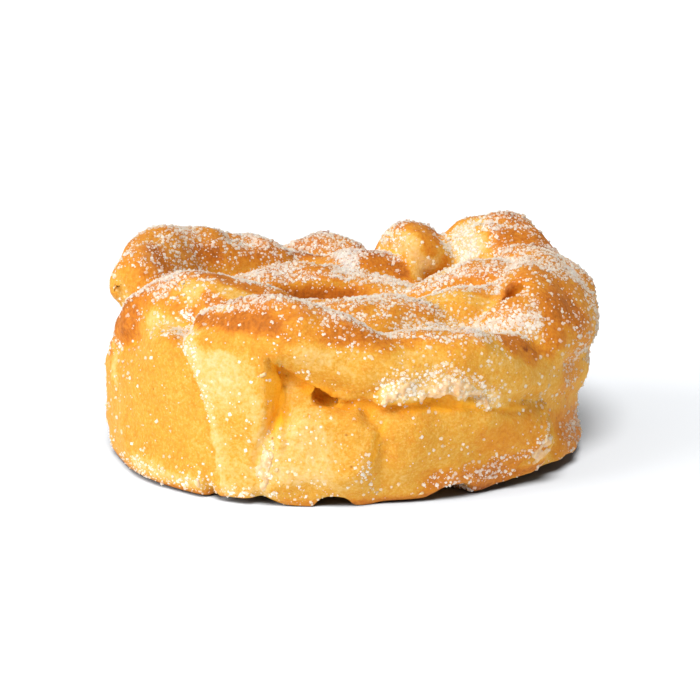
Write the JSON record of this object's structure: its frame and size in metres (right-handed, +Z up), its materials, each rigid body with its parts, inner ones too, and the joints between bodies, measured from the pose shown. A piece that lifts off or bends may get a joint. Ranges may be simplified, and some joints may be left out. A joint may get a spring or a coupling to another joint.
{
  "type": "sugar bun",
  "caption": "Round sweet bun of folded dough strands baked in a ring: pressed and creased wall, humped rim, small open middle on top, flat underside.",
  "frame": {"origin": "middle of the flat underside, at the level of the table it rests on", "axes": "+Z up, -Y towards the side that faces the camera in the picture, +X to the right of that side"},
  "size_m": [0.095, 0.095, 0.0423],
  "materials": {
    "crust": "satin baked crust, golden to brown",
    "sugar": "granulated sugar, off-white, glinting"
  },
  "bodies": {
    "root": {"bun": "crust"}
  },
  "joints": []
}
